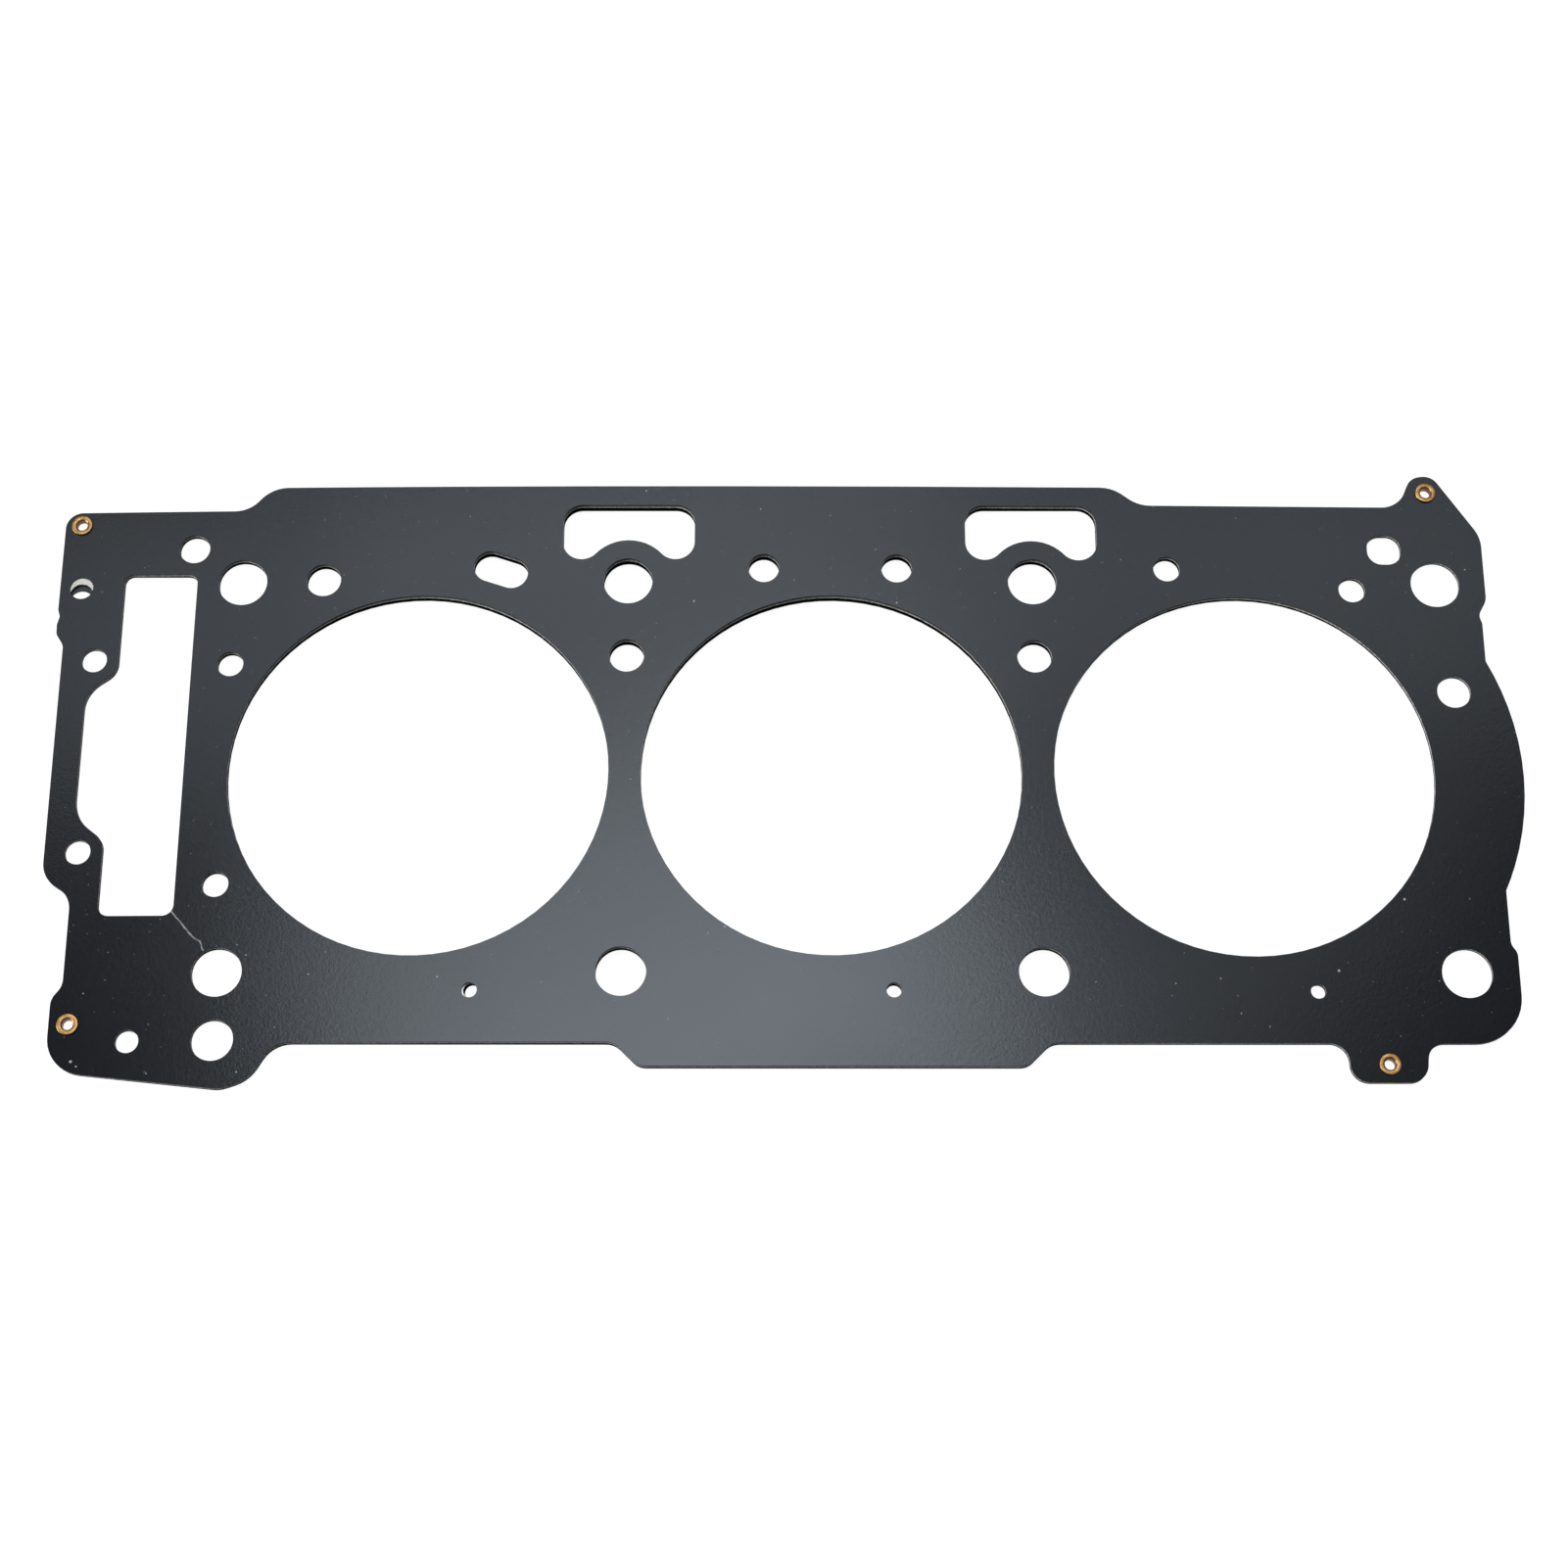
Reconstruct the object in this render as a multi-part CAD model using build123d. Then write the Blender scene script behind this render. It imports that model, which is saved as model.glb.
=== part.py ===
from build123d import *
from math import sqrt
import os

# Head gasket of a three-cylinder bank: three pressed sheets held by four brass eyelets.
# Millimetres. The origin is the middle bore's centre, on the face that meets the block.
# X runs along the row of bores, Y across it, Z up through the sheets.

# Sheets, from the block upwards
bottom_t = 0.25
middle_t = 0.60
top_t = 0.25
stack = bottom_t + middle_t + top_t

# Bores and head bolts: the bolts stand on the corners of a square about each bore
bore_dia = 101.5
bridge = 8.5
bolt_hole_dia = 13.3
left_bolt_in = 5.0
bore_pitch = bore_dia + bridge
bolt_row = bore_pitch / 2
left_bore = -bore_pitch
right_bore = bore_pitch
left_bolt = left_bore - bore_pitch / 2 + left_bolt_in
right_bolt = right_bore + bore_pitch / 2

# Timing chain window, with the bay for the chain guide on its left
chain_window_width = 20.0
chain_window_length = 97.3
chain_window_inset = 12.4
chain_bay_depth = 8.2
chain_right = left_bolt - chain_window_inset
chain_left = chain_right - chain_window_width
chain_far = bolt_row + 2.6
chain_near = chain_far - chain_window_length
bay_left = chain_left - chain_bay_depth
bay_near = chain_near + 20.9
bay_far = chain_far - 28.6

# Edges of the sheets, from the chain window, the right bolts and the bolt rows
left_land = 9.4
right_margin = 13.6
far_margin = 28.4
left_far_margin = 21.4
right_far_margin = 23.0
lug_margin = 32.5
near_margin = 18.8
pan_step = 6.3
tab_step = 10.3
foot_step = 12.2
rim_land = 23.7
tab_width = 19.5
tab_inset = 22.2
left_end = bay_left - left_land
right_end = right_bolt + right_margin
far_edge = bolt_row + far_margin
left_far = bolt_row + left_far_margin
right_far = bolt_row + right_far_margin
lug_far = bolt_row + lug_margin
near_edge = -bolt_row - near_margin
pan_edge = near_edge - pan_step
tab_edge = near_edge - tab_step
foot_edge = near_edge - foot_step
rim_radius = bore_dia / 2 + rim_land
rim_x = right_end - 1.6
tab_x = right_bolt - tab_inset
tab_left = tab_x - tab_width / 2
tab_right = tab_x + tab_width / 2

# Kidney windows round the far inner bolts
window_half = 18.0
window_top = 22.7
window_corner = 5.2
boss_radius = 12.1
window_right = bore_pitch / 2 + window_half

# Water, oil and locating holes
water_dia = 8.35
end_water_dia = 7.3
cross_water_dia = 9.4
oil_feed_dia = 9.1
rail_hole_dia = 6.9
cover_hole_dia = 7.1
drain_dia = 11.1
foot_hole_dia = 6.2
vent_dia = 4.0
vent_offset = 15.9
pad_hole_width = 9.3
pad_hole_depth = 8.8
pad_hole_corner = pad_hole_depth / 2 - 0.5
slot_length = 15.1
slot_width = 9.0
slot_angle = -18.9
pilot_dia = 6.3
pilot_stagger = 1.75
vent_stagger = 0.35

# Spring of the top sheet off the flat stack, and the middle plate's share of it
near_rise = 2.0
far_rise = 2.9
cross_rise = 0.3
lean = 0.25
middle_share = 0.65

# Eyelets
eyelet_bore = 2.9
eyelet_wall = 0.3
eyelet_flange = 5.7
eyelet_roll = 0.5
eyelet_fit = 0.1
seat_gap = 0.11
eyelet_hole = eyelet_bore + 2 * eyelet_wall + eyelet_fit
eyelets = {
    "far_left": (left_end + 4.6, left_far - 3.9),
    "far_right": (right_bolt - 0.65, lug_far - 5.1),
    "near_left": (left_end + 12.4, near_edge + 4.9),
    "near_right": (tab_x + 0.3, tab_edge + 4.7),
}

# Blank that the sprung sheets are cut from, a little larger than the outline
blank_margin = 1.0
blank_left = left_end - blank_margin
blank_right = max(right_bore + rim_radius, right_end) + blank_margin
blank_near = foot_edge - blank_margin
blank_far = lug_far + blank_margin


def rounded(corners):
    """Face inside a closed polygon whose corners (x, y, radius) are rounded."""
    points = [(x, y) for x, y, r in corners]
    return make_face(FilletPolyline(*points, radius=[r for x, y, r in corners], close=True))


def outline():
    """Outer edge shared by the sheets, clockwise from the far left corner."""
    edge = rounded([
        (left_end, left_far, 4.6),
        (left_bolt + 0.4, left_far, 8.6),
        (left_bolt + 6.5, far_edge, 9.9),
        (window_right + 4.7, far_edge, 10.0),
        (window_right + 11.9, right_far, 9.8),
        (right_bolt - 8.3, right_far, 7.3),
        (right_bolt - 4.5, lug_far - 0.4, 4.5),
        (right_bolt + 1.4, lug_far + 0.3, 4.3),
        (right_end, bolt_row + 14.3, 9.6),
        (right_end, bolt_row - 4.7, 5.4),
        (right_end - 2.4, bolt_row - 9.0, 2.9),
        (rim_x, bolt_row - 11.4, 2.0),
        (rim_x, -bolt_row + 7.7, 3.4),
        (right_end, -bolt_row + 5.7, 3.4),
        (right_end, near_edge, 12.9),
        (tab_right + 1.0, near_edge, 4.4),
        (tab_right, tab_edge, 4.9),
        (tab_left, tab_edge, 4.9),
        (tab_left - 0.3, near_edge, 5.0),
        (bore_pitch / 2 + 1.3, near_edge, 5.5),
        (bore_pitch / 2 + 1.3 - pan_step, pan_edge, 4.4),
        (-bore_pitch / 2 - 1.3 + pan_step, pan_edge, 4.4),
        (-bore_pitch / 2 - 1.3, near_edge, 5.5),
        (left_bolt + 15.7, near_edge, 8.3),
        (left_bolt + 10.0, foot_edge + 2.5, 10.3),
        (left_bolt + 2.6, foot_edge, 8.1),
        (left_end + 7.4, foot_edge + 4.8, 10.0),
        (left_end + 7.4, -bolt_row - 7.1, 4.7),
        (left_end + 10.2, -bolt_row - 3.6, 4.9),
        (left_end + 10.2, chain_near + 5.6, 6.8),
        (left_end + 2.3, chain_near + 10.5, 7.8),
        (left_end + 2.2, bolt_row - 18.0, 3.2),
        (left_end + 0.1, bolt_row - 14.7, 2.2),
        (left_end, bolt_row - 11.8, 1.2),
        (left_end + 0.6, bolt_row - 9.5, 1.0),
        (left_end, bolt_row - 7.5, 1.0),
    ])
    rim = Pos(right_bore, 0) * Circle(rim_radius) & Pos(rim_x, 0) * Rectangle(20, bolt_row * 1.3)
    return edge + rim


def kidney(x):
    """Window that wraps the far bolt at x: two lobes beside the bolt's boss, joined above it."""
    lobe_x = window_half - window_corner
    lobe_y = sqrt((boss_radius + window_corner) ** 2 - lobe_x**2)
    top = Pos(0, (lobe_y + window_top) / 2) * Rectangle(2 * window_half, window_top - lobe_y)
    top = fillet(top.vertices().group_by(Axis.Y)[-1], window_corner)
    window = top + make_face(Polyline((0, 0), (lobe_x, lobe_y), (-lobe_x, lobe_y), close=True))
    window += [Pos(side * lobe_x, lobe_y) * Circle(window_corner) for side in (-1, 1)]
    return Pos(x, bolt_row) * (window - Circle(boss_radius))


def chain_window():
    """Opening that the timing chain runs through."""
    return rounded([
        (chain_left, chain_far, 2.5),
        (chain_right, chain_far, 2.7),
        (chain_right, chain_near, 3.0),
        (chain_left, chain_near, 3.0),
        (chain_left, bay_near, 5.1),
        (bay_left, bay_near + 6.4, 10.6),
        (bay_left, bay_far - 5.8, 9.2),
        (chain_left, bay_far, 5.7),
    ])


def round_holes(level):
    """Centre and diameter of each round hole; level counts the sheets down from the top."""
    bolts = [(x, y, bolt_hole_dia) for x in (left_bolt, -bore_pitch / 2, bore_pitch / 2, right_bolt)
             for y in (-bolt_row, bolt_row)]
    vents = [(bore + vent_offset, -bolt_row - 5.0, vent_dia) for bore in (0, right_bore)]
    cross = [(x, bolt_row - 21.9, cross_water_dia) for x in (-bore_pitch / 2, bore_pitch / 2)]
    cover = [(left_bolt - 1.9, y, cover_hole_dia) for y in (23.9 - bolt_row, bolt_row - 23.9)]
    rail = [(chain_left - 6.5, y, rail_hole_dia) for y in (bay_near - 3.2, bay_far + 3.5)]
    rivets = [(x, y, eyelet_hole) for x, y in eyelets.values()]
    return bolts + vents + cross + cover + rail + rivets + [
        (left_bore, 0, bore_dia),
        (0, 0, bore_dia),
        (right_bore, 0, bore_dia),
        (-18.1, bolt_row + 3.8, water_dia),
        (18.1, bolt_row + 3.8, water_dia),
        (window_right + 18.8, bolt_row + 4.0, end_water_dia),
        (right_bolt - 22.9, bolt_row - 1.8, end_water_dia),
        (left_bolt + 22.1, bolt_row + 0.5, cross_water_dia),
        (left_bolt - 13.8, bolt_row + 10.1, water_dia),
        (right_bolt + 2.7, bolt_row - 31.5, oil_feed_dia),
        (left_bolt, -bolt_row - 18.1, drain_dia),
        (left_bolt - 22.0, -bolt_row - 18.4, foot_hole_dia),
        (left_end + 5.9, bolt_row - 1.2 - level * pilot_stagger, pilot_dia),
        (left_bore + vent_offset + level * vent_stagger, -bolt_row - 5.0, vent_dia),
    ]


def plan(level):
    """Flat pattern of one sheet: the outline with every opening cut through it."""
    pattern = outline() - [kidney(-bore_pitch / 2), kidney(bore_pitch / 2), chain_window()]
    pattern -= [Pos(x, y) * Circle(dia / 2) for x, y, dia in round_holes(level)]
    slot = Pos(left_bore + 20.3, bolt_row + 3.4) * Rot(0, 0, slot_angle) * SlotOverall(slot_length, slot_width)
    pad_hole = RectangleRounded(pad_hole_width, pad_hole_depth, pad_hole_corner)
    return pattern - slot - Pos(right_bolt - 13.3, bolt_row + 10.2) * pad_hole


def lift(x, y):
    """Height that the top sheet springs off the flat stack, highest left of the middle."""
    u = (2 * x - blank_left - blank_right) / (blank_right - blank_left)
    v = (2 * y - blank_near - blank_far) / (blank_far - blank_near)
    rise = (near_rise * (1 - v) + far_rise * (1 + v)) / 2
    return (1 - lean * u) * (rise * (1 - u**2) + cross_rise * (1 - v**2))


def sprung_sheet(pattern, base, thickness, share):
    """Sheet pressed to its share of the lift, with every edge still cut square to the plan.

    The control heights make the Bezier patch equal the polynomial in lift.
    """
    arch = [0, 4 / 3 * (1 + lean), 4 / 3 * (1 - lean), 0]
    slant = [1 + lean, 1 + lean / 3, 1 - lean / 3, 1 - lean]
    rise = [near_rise, (near_rise + far_rise) / 2, far_rise]
    bow = [0, 2 * cross_rise, 0]
    grid = [[(blank_left + (blank_right - blank_left) * i / 3,
              blank_near + (blank_far - blank_near) * j / 2,
              base + share * (arch[i] * rise[j] + slant[i] * bow[j]))
             for j in range(3)]
            for i in range(4)]
    blank = extrude(Face.make_bezier_surface(grid), thickness, (0, 0, 1))
    return blank & extrude(pattern, base + thickness + 2 * (near_rise + far_rise + cross_rise))


def eyelet(x, y):
    """Brass tube rolled over both faces of the stack where it holds the sheets together."""
    bore, shank, flange = eyelet_bore / 2, eyelet_bore / 2 + eyelet_wall, eyelet_flange / 2
    top = stack + lift(x, y) + seat_gap
    bell = eyelet_roll / 2
    upper = [
        (shank, top),
        (flange, top),
        (flange - bell, top + eyelet_roll),
        (bore + bell, top + eyelet_roll),
        (bore, top + bell),
    ]
    lower = [(r, top - z) for r, z in reversed(upper)]
    section = make_face(Plane.XZ * Polyline(*upper, *lower, close=True))
    return Pos(x, y) * revolve(section, Axis.Z)


parts = {
    "bottom_sheet": extrude(plan(2), bottom_t),
    "middle_plate": sprung_sheet(plan(1), bottom_t, middle_t, middle_share),
    "top_sheet": sprung_sheet(plan(0), bottom_t + middle_t, top_t, 1.0),
}
for place, (x, y) in eyelets.items():
    parts["eyelet_" + place] = eyelet(x, y)

os.makedirs("parts", exist_ok=True)
for name, part in parts.items():
    part.label = name
    export_step(part, f"parts/{name}.step")
    print(name, round(part.volume, 2), part.is_valid, len(part.solids()), part.bounding_box())
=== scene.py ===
import math

import bmesh
import bpy
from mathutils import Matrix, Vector


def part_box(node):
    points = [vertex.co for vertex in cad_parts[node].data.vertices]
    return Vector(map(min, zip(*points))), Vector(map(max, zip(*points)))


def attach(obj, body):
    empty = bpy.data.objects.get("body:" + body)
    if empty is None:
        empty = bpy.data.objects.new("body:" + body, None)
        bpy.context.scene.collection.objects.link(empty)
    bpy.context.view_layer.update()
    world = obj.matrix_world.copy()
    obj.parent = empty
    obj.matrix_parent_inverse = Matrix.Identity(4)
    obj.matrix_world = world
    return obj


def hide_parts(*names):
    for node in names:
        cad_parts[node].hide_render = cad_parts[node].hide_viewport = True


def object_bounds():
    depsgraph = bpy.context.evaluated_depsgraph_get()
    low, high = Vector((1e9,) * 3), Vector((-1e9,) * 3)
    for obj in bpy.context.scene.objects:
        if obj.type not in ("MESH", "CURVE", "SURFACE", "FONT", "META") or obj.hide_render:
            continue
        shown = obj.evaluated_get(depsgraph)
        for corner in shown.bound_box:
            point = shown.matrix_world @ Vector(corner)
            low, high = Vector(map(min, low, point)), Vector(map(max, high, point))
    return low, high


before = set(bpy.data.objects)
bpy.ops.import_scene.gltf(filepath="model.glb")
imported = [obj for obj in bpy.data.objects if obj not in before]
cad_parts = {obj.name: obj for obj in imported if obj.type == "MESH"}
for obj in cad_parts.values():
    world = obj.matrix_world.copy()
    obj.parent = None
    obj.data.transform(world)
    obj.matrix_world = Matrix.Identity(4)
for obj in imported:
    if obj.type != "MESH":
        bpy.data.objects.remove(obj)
cad_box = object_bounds()
MM = 0.001

# Node helpers


class Graph:
    """Short calls for building a node tree."""

    def __init__(self, tree):
        self.tree = tree
        tree.nodes.clear()

    def node(self, kind, inputs=None, **props):
        n = self.tree.nodes.new(kind)
        for k, v in props.items():
            setattr(n, k, v)
        for k, v in (inputs or {}).items():
            self.feed(n.inputs[k], v)
        return n

    def feed(self, socket, value):
        if isinstance(value, bpy.types.NodeSocket):
            self.tree.links.new(value, socket)
        else:
            socket.default_value = value

    def math(self, op, a, b=0.0, clamp=False):
        n = self.node("ShaderNodeMath", operation=op, use_clamp=clamp)
        self.feed(n.inputs[0], a)
        self.feed(n.inputs[1], b)
        return n.outputs[0]

    def add(self, a, b):
        return self.math("ADD", a, b)

    def subtract(self, a, b):
        return self.math("SUBTRACT", a, b)

    def times(self, a, b):
        return self.math("MULTIPLY", a, b)

    def highest(self, a, b):
        return self.math("MAXIMUM", a, b)

    def vmath(self, op, a, b, out=0):
        n = self.node("ShaderNodeVectorMath", operation=op)
        self.feed(n.inputs[0], a)
        self.feed(n.inputs[1], b)
        return n.outputs[out]

    def ramp(self, value, lo, hi, a=0.0, b=1.0):
        """Smooth step from a to b as value goes from lo to hi."""
        n = self.node("ShaderNodeMapRange", interpolation_type="SMOOTHSTEP")
        for k, v in (("Value", value), ("From Min", lo), ("From Max", hi), ("To Min", a), ("To Max", b)):
            self.feed(n.inputs[k], v)
        return n.outputs[0]

    def mix(self, fac, a, b):
        n = self.node("ShaderNodeMix", data_type="RGBA")
        factor, colour_a, colour_b, colour_out = 0, 6, 7, 2
        self.feed(n.inputs[factor], fac)
        self.feed(n.inputs[colour_a], a)
        self.feed(n.inputs[colour_b], b)
        return n.outputs[colour_out]

    def noise(self, vector, scale, detail=2.0, rough=0.5, out="Fac"):
        n = self.node("ShaderNodeTexNoise")
        for k, v in (("Vector", vector), ("Scale", scale), ("Detail", detail), ("Roughness", rough)):
            self.feed(n.inputs[k], v)
        return n.outputs[out]

    def stretched_noise(self, vector, scales, detail, rough):
        """Noise with a scale of its own along each axis."""
        return self.noise(self.vmath("MULTIPLY", vector, scales), 1.0, detail, rough)

    def split(self, vector):
        return self.node("ShaderNodeSeparateXYZ", {0: vector}).outputs

    def place(self):
        """Point of the surface, in metres in the part's frame."""
        return self.node("ShaderNodeTexCoord").outputs["Object"]

    def up(self):
        """Upward share of the surface's normal."""
        return self.split(self.node("ShaderNodeNewGeometry").outputs["Normal"])[2]

    def bump(self, strength, depth, height):
        n = self.node("ShaderNodeBump", {"Strength": strength, "Distance": depth, "Height": height})
        return n.outputs[0]


def new_material(name):
    m = bpy.data.materials.new(name)
    m.use_nodes = True
    return m, Graph(m.node_tree)


def finish_shader(g, **sockets):
    b = g.node("ShaderNodeBsdfPrincipled", {k.replace("_", " "): v for k, v in sockets.items()})
    g.node("ShaderNodeOutputMaterial", {"Surface": b.outputs[0]})


def sheet_face(g):
    """1 on a sheet's two faces and 0 on its cut edges."""
    return g.ramp(g.math("ABSOLUTE", g.up()), lo=0.5, hi=0.8)


def segment_distance(g, p, a, b):
    """Distance in the XY plane from p to the segment from a to b."""
    ax, ay = a
    dx, dy = b[0] - ax, b[1] - ay
    x, y, _ = g.split(p)
    u = g.subtract(x, ax)
    v = g.subtract(y, ay)
    t = g.math("DIVIDE", g.add(g.times(u, dx), g.times(v, dy)), dx * dx + dy * dy, clamp=True)
    ex = g.subtract(u, g.times(t, dx))
    ey = g.subtract(v, g.times(t, dy))
    return g.math("SQRT", g.add(g.times(ex, ex), g.times(ey, ey)))


# Coating

COAT_DEEP = (0.0042, 0.0043, 0.0055, 1)
COAT_PALE = (0.0073, 0.0074, 0.0089, 1)
GRAIN_SHARE, CLOUD_SHARE = 0.35, 0.65
CUT_RUBBER = (0.004, 0.004, 0.005, 1)
CUT_STEEL = (0.21, 0.20, 0.19, 1)
COAT_SPECULAR = 0.31
COAT_TINT = (0.80, 0.895, 0.99, 1)
COAT_ROUGHNESS, ROUGHNESS_DRIFT, EDGE_ROUGHNESS = 0.187, 0.04, 0.75
COAT_BUMP, COAT_BUMP_DEPTH = 0.5, 0.05 * MM
# Shares of the bump's height
GRAIN_HEIGHT, PEEL_HEIGHT, STREAK_HEIGHT = 0.6, 0.5, 0.03
# Noise scales, in cycles per metre
GRAIN_SCALE, PEEL_SCALE, CLOUD_SCALE, BURR_SCALE = 1700.0, 900.0, 22.0, 1100.0
STREAK_SCALES = (12.0, 260.0, 12.0)

# Dust flecks that stand out in the photograph: x, y, radius, in millimetres
FLECKS = [(-196.0, -78.7, 0.45), (131.5, -54.5, 0.42), (150.0, -35.0, 0.4), (-28.0, -43.0, 0.3),
          (-37.0, 49.0, 0.3), (18.0, 48.6, 0.28), (173.5, 59.5, 0.25), (-194.5, -80.0, 0.28),
          (-102.5, -56.5, 0.28), (-152.5, -50.5, 0.22), (-50.5, 82.0, 0.25), (-19.0, 76.5, 0.22),
          (105.5, -66.0, 0.22), (-153.1, -81.6, 0.25), (-194.2, -60.6, 0.22), (-136.0, -55.7, 0.22),
          (-176.3, -81.9, 0.2)]
FLECK_CORE = 0.55
# Finer dust at random: cells per metre, share of the cells with a speck, the largest speck's radius in
# millimetres, and strength
DUST = [(230.0, 0.3, 0.21, 0.4), (90.0, 0.22, 0.32, 0.6)]
DUST_CORE, SMALLEST_SPECK = 0.4, 0.5
DUST_PATCH_SCALE, THIN_DUST = 14.0, 0.35
DUST_GREY = (0.42, 0.42, 0.42, 1)
DUST_ROUGHNESS = 0.3

# Scratch from the chain window to the near left bolt hole, in millimetres: its points, the half width of
# its core and of its whole, and how far it wanders off the points
SCRATCH = [(-173.0, -38.5), (-166.2, -46.0), (-164.8, -46.8), (-163.8, -49.3)]
SCRATCH_CORE, SCRATCH_EDGE = 0.08, 0.26
SCRATCH_WANDER, WANDER_SCALE = 0.9, 420.0
FAINT_SCRATCH, DEEP_SCRATCH = 0.35, 0.8


def dust_mask(g, p):
    """Fine dust over the whole sheet, thinner in patches, and the flecks that stand out."""
    patches = g.ramp(g.noise(p, DUST_PATCH_SCALE), lo=0.35, hi=0.65, a=THIN_DUST)
    dust = 0.0
    for scale, share, radius, strength in DUST:
        cells = g.node("ShaderNodeTexVoronoi", {"Vector": p, "Scale": scale}, voronoi_dimensions="2D")
        pick, spread, _ = g.split(cells.outputs["Color"])
        size = g.times(g.ramp(spread, 0.0, 1.0, a=SMALLEST_SPECK), radius * MM * scale)
        spot = g.ramp(g.math("DIVIDE", cells.outputs["Distance"], size), DUST_CORE, 1.0, strength, 0.0)
        chosen = g.math("LESS_THAN", pick, share)
        dust = g.highest(dust, g.times(g.times(spot, chosen), patches))
    flat = g.vmath("MULTIPLY", p, (1.0, 1.0, 0.0))
    for x, y, radius in FLECKS:
        distance = g.vmath("DISTANCE", flat, (x * MM, y * MM, 0.0), out=1)
        dust = g.highest(dust, g.ramp(distance, radius * FLECK_CORE * MM, radius * MM, 1.0, 0.0))
    return dust


def scratch_mask(g, p):
    """Hairline scratch that wanders a little and varies in depth."""
    wander = g.vmath("SUBTRACT", g.noise(p, WANDER_SCALE, out="Color"), (0.5, 0.5, 0.5))
    wander = g.vmath("MULTIPLY", wander, (SCRATCH_WANDER * MM, SCRATCH_WANDER * MM, 0.0))
    q = g.vmath("ADD", p, wander)
    points = [(x * MM, y * MM) for x, y in SCRATCH]
    runs = [segment_distance(g, q, a, b) for a, b in zip(points, points[1:])]
    nearest = runs[0]
    for run in runs[1:]:
        nearest = g.math("MINIMUM", nearest, run)
    line = g.ramp(nearest, SCRATCH_CORE * MM, SCRATCH_EDGE * MM, 1.0, 0.0)
    return g.times(line, g.ramp(g.noise(p, PEEL_SCALE), lo=0.3, hi=0.6, a=FAINT_SCRATCH, b=DEEP_SCRATCH))


def coating_material(name, worn):
    """Black rubber on both faces of a thin steel sheet, which shows through at the cut edge."""
    m, g = new_material(name)
    p, face = g.place(), sheet_face(g)
    grain = g.noise(p, GRAIN_SCALE, detail=3.0, rough=0.6)
    cloud = g.noise(p, CLOUD_SCALE, detail=3.0, rough=0.55)
    streak = g.stretched_noise(p, STREAK_SCALES, detail=2.0, rough=0.6)
    shade = g.add(g.times(grain, GRAIN_SHARE), g.times(cloud, CLOUD_SHARE))
    body = g.mix(shade, COAT_DEEP, COAT_PALE)
    burr = g.ramp(g.noise(p, BURR_SCALE, detail=3.0, rough=0.7), lo=0.52, hi=0.68)
    colour = g.mix(face, g.mix(burr, CUT_RUBBER, CUT_STEEL), body)
    rough = g.add(COAT_ROUGHNESS, g.times(g.subtract(cloud, 0.5), ROUGHNESS_DRIFT))
    if worn:
        mark = g.times(g.highest(dust_mask(g, p), scratch_mask(g, p)), face)
        colour = g.mix(mark, colour, DUST_GREY)
        rough = g.add(rough, g.times(mark, DUST_ROUGHNESS))
    rough = g.add(rough, g.ramp(face, 0.0, 1.0, EDGE_ROUGHNESS, 0.0))
    height = g.add(g.times(grain, GRAIN_HEIGHT), g.times(g.noise(p, PEEL_SCALE), PEEL_HEIGHT))
    height = g.add(height, g.times(streak, STREAK_HEIGHT))
    finish_shader(g, Base_Color=colour, Roughness=rough, Specular_IOR_Level=COAT_SPECULAR,
                  Specular_Tint=COAT_TINT, Normal=g.bump(COAT_BUMP, COAT_BUMP_DEPTH, height))
    return m


# Bare steel

ROLLED_DARK = (0.48, 0.47, 0.45, 1)
ROLLED_PALE = (0.60, 0.59, 0.57, 1)
SHEARED_DARK = (0.26, 0.25, 0.245, 1)
SHEARED_PALE = (0.80, 0.79, 0.77, 1)
STEEL_METALLIC = 0.85
STEEL_FACE_ROUGHNESS, STEEL_EDGE_ROUGHNESS, TOOTH_ROUGHNESS = 0.32, 0.7, 0.2
STEEL_BUMP, STEEL_BUMP_DEPTH = 0.25, 0.05 * MM
TOOTH_HEIGHT = 0.5
# Noise scales along x, y and z, in cycles per metre
ROLL_SCALES = (60.0, 2400.0, 60.0)
TOOTH_SCALES = (1800.0, 1800.0, 500.0)


def steel_material():
    """Metallic rolled faces with a grain along the plate, and a toothed sheared edge without a mirror."""
    m, g = new_material("bare_steel")
    p, face = g.place(), sheet_face(g)
    roll = g.stretched_noise(p, ROLL_SCALES, detail=3.0, rough=0.6)
    tooth = g.stretched_noise(p, TOOTH_SCALES, detail=3.0, rough=0.7)
    rolled = g.mix(roll, ROLLED_DARK, ROLLED_PALE)
    sheared = g.mix(g.ramp(tooth, lo=0.35, hi=0.7), SHEARED_DARK, SHEARED_PALE)
    base_roughness = g.ramp(face, 0.0, 1.0, STEEL_EDGE_ROUGHNESS, STEEL_FACE_ROUGHNESS)
    height = g.add(roll, g.times(tooth, TOOTH_HEIGHT))
    finish_shader(g, Base_Color=g.mix(face, sheared, rolled), Metallic=g.times(face, STEEL_METALLIC),
                  Roughness=g.add(base_roughness, g.times(tooth, TOOTH_ROUGHNESS)),
                  Normal=g.bump(STEEL_BUMP, STEEL_BUMP_DEPTH, height))
    return m


# Brass

# Painted shade for the faces that turn away from the top: the bore and the flange's underside
BRASS_PAINTED_SHADE = (0.13, 0.055, 0.02, 1)
BRASS_TARNISHED = (0.275, 0.14, 0.043, 1)
BRASS_CLEAN = (0.475, 0.31, 0.125, 1)
BRASS_ROUGHNESS, BRASS_ROUGHNESS_SPREAD = 0.28, 0.22
BRASS_BUMP, BRASS_BUMP_DEPTH = 0.2, 0.04 * MM
TARNISH_HEIGHT = 0.7
# Noise scales, in cycles per metre
TARNISH_SCALE, BRASS_GRAIN_SCALE = 700.0, 3500.0


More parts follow.
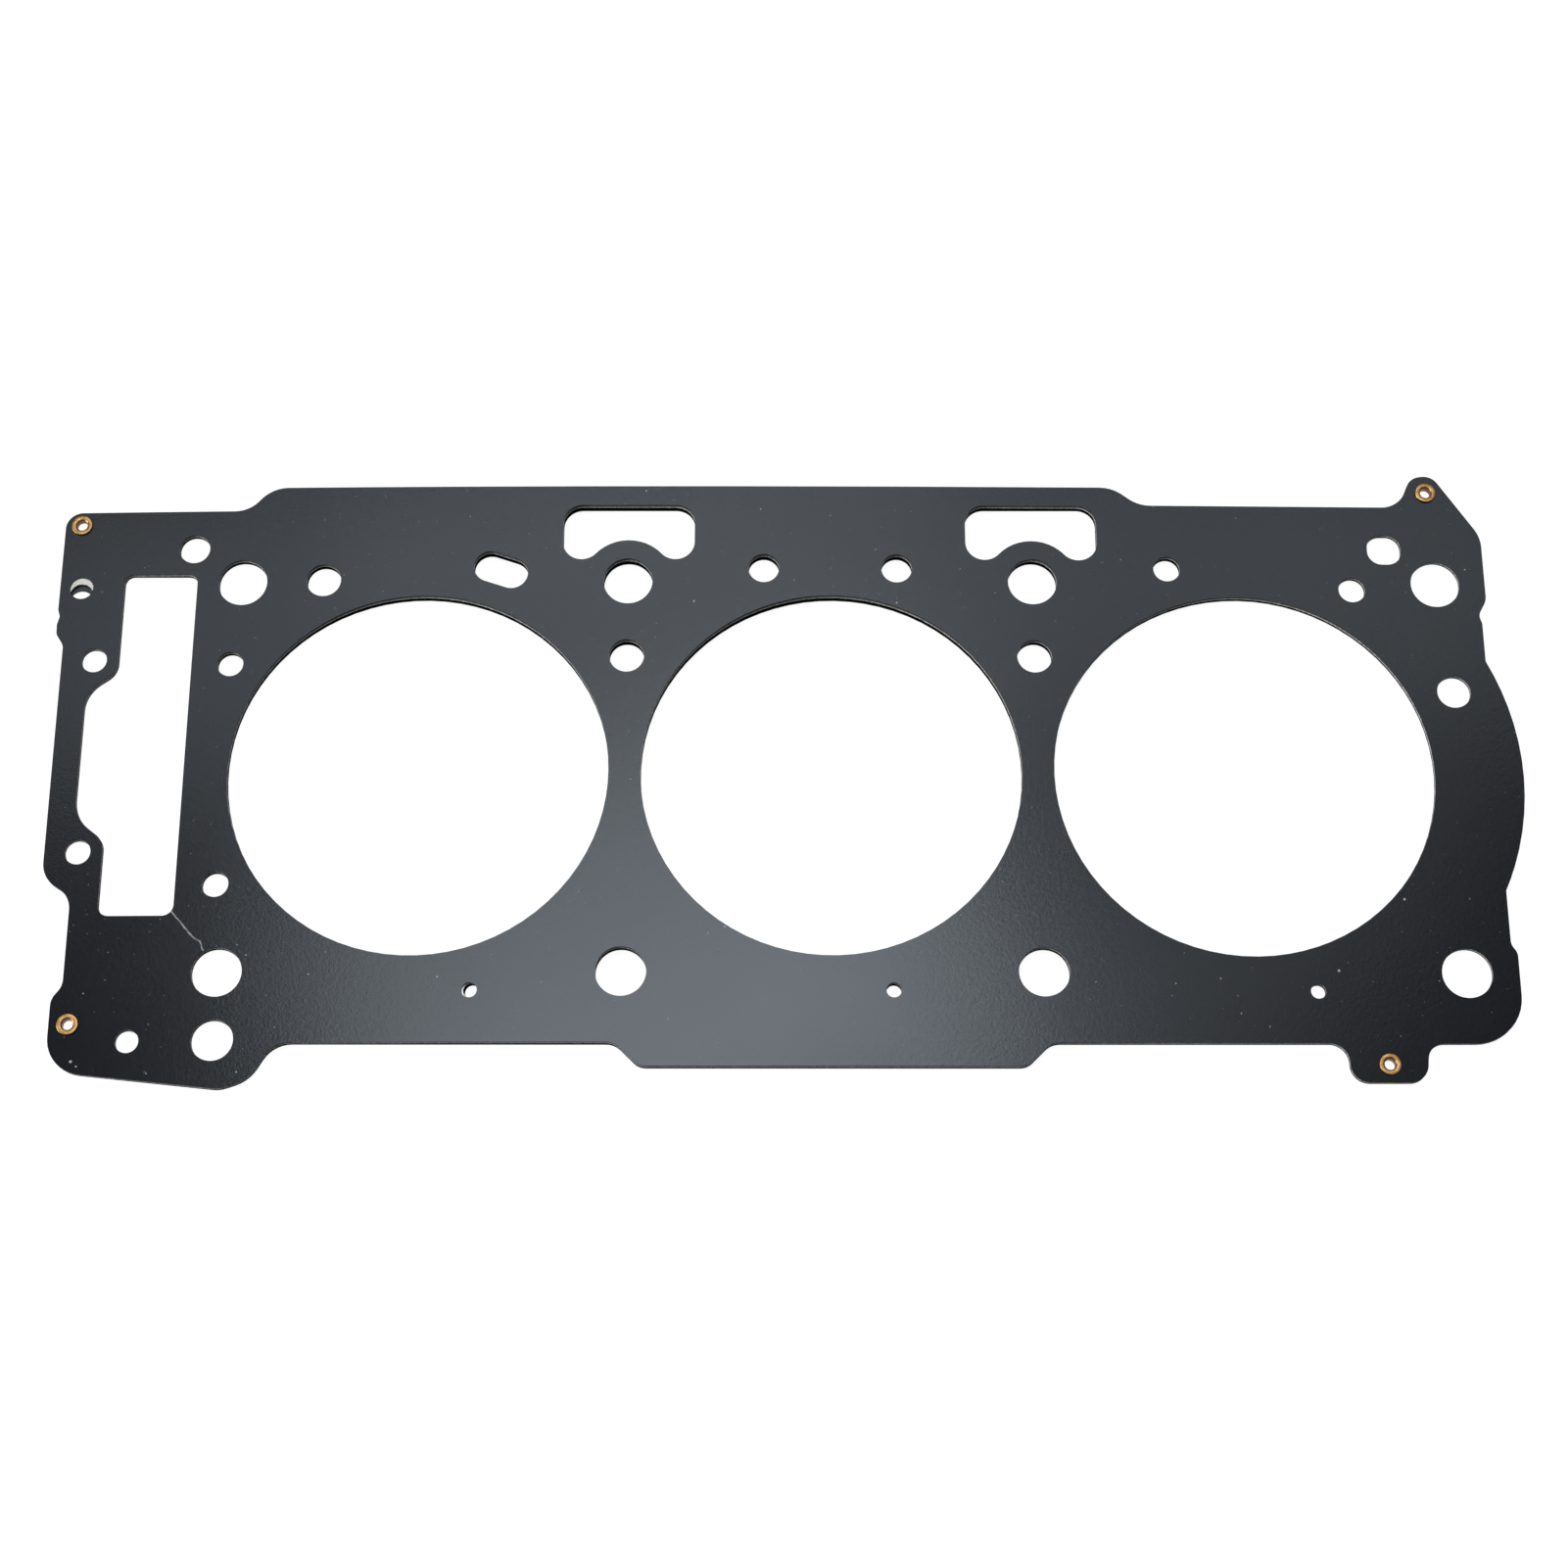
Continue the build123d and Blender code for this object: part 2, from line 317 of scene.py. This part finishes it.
def brass_material():
    """Tarnished in spots on the crown, with painted shade in the bore and under the flange."""
    m, g = new_material("brass")
    p = g.place()
    tarnish = g.noise(p, TARNISH_SCALE, detail=3.0, rough=0.6)
    fine = g.noise(p, BRASS_GRAIN_SCALE, detail=3.0, rough=0.6)
    crown = g.mix(g.ramp(tarnish, lo=0.3, hi=0.7), BRASS_TARNISHED, BRASS_CLEAN)
    # Painted shade: the less a face turns upward, the more it takes the dark brass shade colour
    colour = g.mix(g.ramp(g.up(), lo=0.1, hi=0.8), BRASS_PAINTED_SHADE, crown)
    rough = g.add(BRASS_ROUGHNESS, g.times(fine, BRASS_ROUGHNESS_SPREAD))
    height = g.add(g.times(tarnish, TARNISH_HEIGHT), fine)
    finish_shader(g, Base_Color=colour, Metallic=1.0, Roughness=rough,
                  Normal=g.bump(BRASS_BUMP, BRASS_BUMP_DEPTH, height))
    return m


def paint(obj, material):
    obj.data.materials.clear()
    obj.data.materials.append(material)


paint(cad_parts["top_sheet"], coating_material("coating_top", worn=True))
paint(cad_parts["bottom_sheet"], coating_material("coating_bottom", worn=False))
paint(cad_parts["middle_plate"], steel_material())
brass = brass_material()

# Eyelets

BORE, WALL, FLANGE, ROLL = 1.45 * MM, 0.3 * MM, 2.85 * MM, 0.5 * MM
# Share of the lip's width by which it dips into the bore
LIP_DIP = 0.9
# Where the rolled flange starts on the face, as a share of the roll's radius
FLANGE_START = 0.15
AROUND, ARC = 64, 10


def eyelet_profile(low, high):
    """Closed section (radius, height) of a tube whose ends are rolled out over both faces."""
    curl = ROLL / 2
    lip = BORE + WALL + curl

    def bell(face, way):
        """Rolled end on the face at this height. way is 1 above the sheets and -1 below them."""
        points = [(BORE + WALL + curl * FLANGE_START, face)]
        for i in range(ARC + 1):
            a = math.pi * i / ARC
            points.append((FLANGE - curl + curl * math.sin(a), face + way * curl * (1 - math.cos(a))))
        for i in range(ARC + 1):
            a = math.pi / 2 * i / ARC
            dip = (lip - BORE) * (1 - math.cos(a)) * LIP_DIP
            points.append((lip - (lip - BORE) * math.sin(a), face + way * (ROLL - dip)))
        return points

    return bell(high, 1) + bell(low, -1)[::-1]


def eyelet(node):
    """Rolled eyelet in place of the plain turned one."""
    lo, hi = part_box(node)
    cx, cy = (lo.x + hi.x) / 2, (lo.y + hi.y) / 2
    profile = eyelet_profile(lo.z + ROLL, hi.z - ROLL)
    bm = bmesh.new()
    rings = []
    for i in range(AROUND):
        a = 2 * math.pi * i / AROUND
        rings.append([bm.verts.new((cx + r * math.cos(a), cy + r * math.sin(a), z)) for r, z in profile])
    for ring, after in zip(rings, rings[1:] + rings[:1]):
        for j in range(len(profile)):
            k = (j + 1) % len(profile)
            bm.faces.new((ring[j], after[j], after[k], ring[k])).smooth = True
    bmesh.ops.recalc_face_normals(bm, faces=bm.faces)
    mesh = bpy.data.meshes.new("rolled_" + node)
    bm.to_mesh(mesh)
    bm.free()
    obj = bpy.data.objects.new("rolled_" + node, mesh)
    bpy.context.scene.collection.objects.link(obj)
    paint(obj, brass)
    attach(obj, "root")
    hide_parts(node)


for node in sorted(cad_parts):
    if node.startswith("eyelet_"):
        eyelet(node)

# Floor

FLOOR_SIZE = 60.0
FLOOR_GREY = (0.2, 0.2, 0.2, 1)
FLOOR_GLOW = 0.92


def floor_material():
    """White to the camera and in reflections, and plain grey for the light that it gives back."""
    m, g = new_material("floor")
    path = g.node("ShaderNodeLightPath").outputs
    seen = g.highest(path["Is Camera Ray"], g.highest(path["Is Glossy Ray"], path["Is Transmission Ray"]))
    shade = g.node("ShaderNodeBsdfDiffuse", {"Color": FLOOR_GREY})
    glow = g.node("ShaderNodeEmission", {"Color": (1, 1, 1, 1), "Strength": g.times(seen, FLOOR_GLOW)})
    both = g.node("ShaderNodeAddShader", {0: shade.outputs[0], 1: glow.outputs[0]})
    g.node("ShaderNodeOutputMaterial", {"Surface": both.outputs[0]})
    return m


bpy.ops.mesh.primitive_plane_add(size=FLOOR_SIZE, location=(0, 0, cad_box[0].z))
floor = bpy.context.object
floor.name = "floor"
paint(floor, floor_material())

# Lights

# Soft panels that the sheet mirrors, and one at the left for its cut edges: place and size in metres, and
# the power over pi and the area, in watts per square metre
ABOVE = 1.5
PANELS = {
    "key": ((-0.124, 0.345, ABOVE), (0.606, 0.387), 6.42),
    "key_low": ((-0.03, 0.07, ABOVE), (0.65, 0.54), 3.0),
    "strip": ((-0.038, 0.719, ABOVE), (1.59, 0.305), 2.6),
    "strip_middle": ((-0.142, 0.804, ABOVE), (0.596, 0.064), 4.87),
    "glance": ((0.408, 0.385, ABOVE), (0.178, 0.34), 1.7),
    "left": ((-1.85, -0.4, 0.5), (0.8, 1.3), 11.5),
}
WORLD_COLOUR, WORLD_STRENGTH = (0.97, 0.985, 1.0, 1), 0.15


def panel(name, at, size, strength):
    """Soft area light that faces the origin."""
    data = bpy.data.lights.new(name, "AREA")
    data.shape = "RECTANGLE"
    data.size, data.size_y = size
    data.energy = strength * size[0] * size[1] * math.pi
    obj = bpy.data.objects.new(name, data)
    bpy.context.scene.collection.objects.link(obj)
    obj.location = at
    obj.rotation_euler = (-Vector(at)).to_track_quat("-Z", "Y").to_euler()


for name, (at, size, strength) in PANELS.items():
    panel(name, at, size, strength)

world = bpy.data.worlds.new("World")
bpy.context.scene.world = world
world.use_nodes = True
g = Graph(world.node_tree)
sky = g.node("ShaderNodeBackground", {"Color": WORLD_COLOUR, "Strength": WORLD_STRENGTH})
g.node("ShaderNodeOutputWorld", {"Surface": sky.outputs[0]})

# Camera

# Solved from the three bores and the eight bolt holes: place in metres, elevation in degrees, turn in
# radians, lens in millimetres and shifts as shares of the frame's width
CAMERA_PLACE = (-0.0137, -0.2596, 0.7173)
CAMERA_ELEVATION, CAMERA_TURN = 70.24, 0.0003
LENS, SENSOR_WIDTH = 65.64, 36.0
SHIFT_X, SHIFT_Y = 0.00283, -0.00081
CLIP_START, CLIP_END = 0.01, 100.0

data = bpy.data.cameras.new("camera")
data.sensor_width, data.lens = SENSOR_WIDTH, LENS
data.shift_x, data.shift_y = SHIFT_X, SHIFT_Y
data.clip_start, data.clip_end = CLIP_START, CLIP_END
camera = bpy.data.objects.new("camera", data)
bpy.context.scene.collection.objects.link(camera)
camera.location = CAMERA_PLACE
camera.rotation_euler = (math.radians(90 - CAMERA_ELEVATION), 0.0, CAMERA_TURN)
bpy.context.scene.camera = camera
bpy.context.scene.view_settings.view_transform = "Standard"
